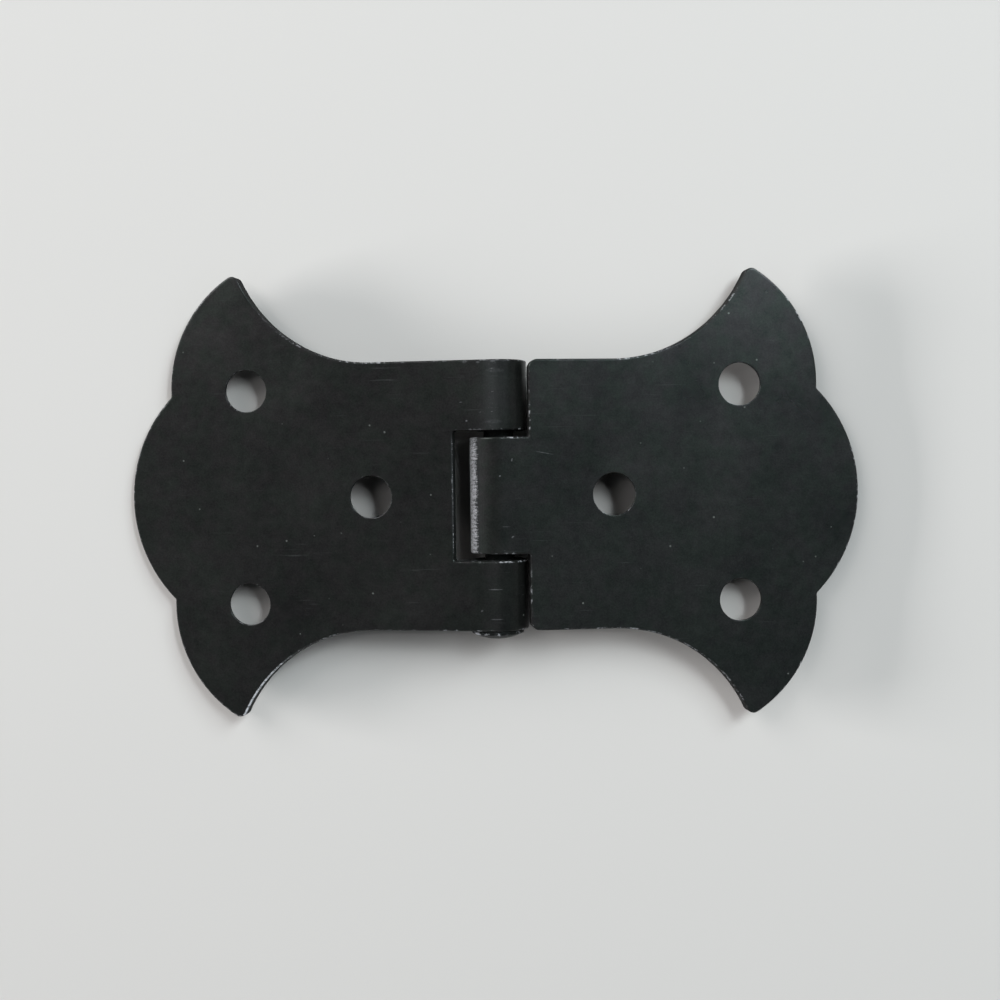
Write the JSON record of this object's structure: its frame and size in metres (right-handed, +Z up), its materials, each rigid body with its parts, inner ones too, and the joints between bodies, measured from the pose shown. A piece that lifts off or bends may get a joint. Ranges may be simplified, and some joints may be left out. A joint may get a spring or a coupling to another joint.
{
  "type": "butterfly hinge",
  "caption": "Flat decorative hinge in black steel: winged leaves with rounded lobes, knuckles rolled under a headed pin, countersunk screw holes.",
  "frame": {"origin": "on the surface the hinge lies on, under the middle of its outline", "axes": "+X across the pin towards the leaf with the centre knuckle, +Y along the pin away from its head, +Z up, out of the flat side"},
  "size_m": [0.0802, 0.0484, 0.0063],
  "materials": {
    "leaf_black": "satin black oxide, fine scuffs",
    "pin_black": "satin black"
  },
  "bodies": {
    "left": {"left_leaf": "leaf_black", "hinge_pin": "pin_black"},
    "right": {"right_leaf": "leaf_black"}
  },
  "joints": [
    {"name": "leaf_fold", "type": "hinge", "parent": "left", "child": "right", "pos_m": [0.0007, 0, 0.00314], "axis": [0, 1, 0], "range_deg": [-96, 170]}
  ]
}
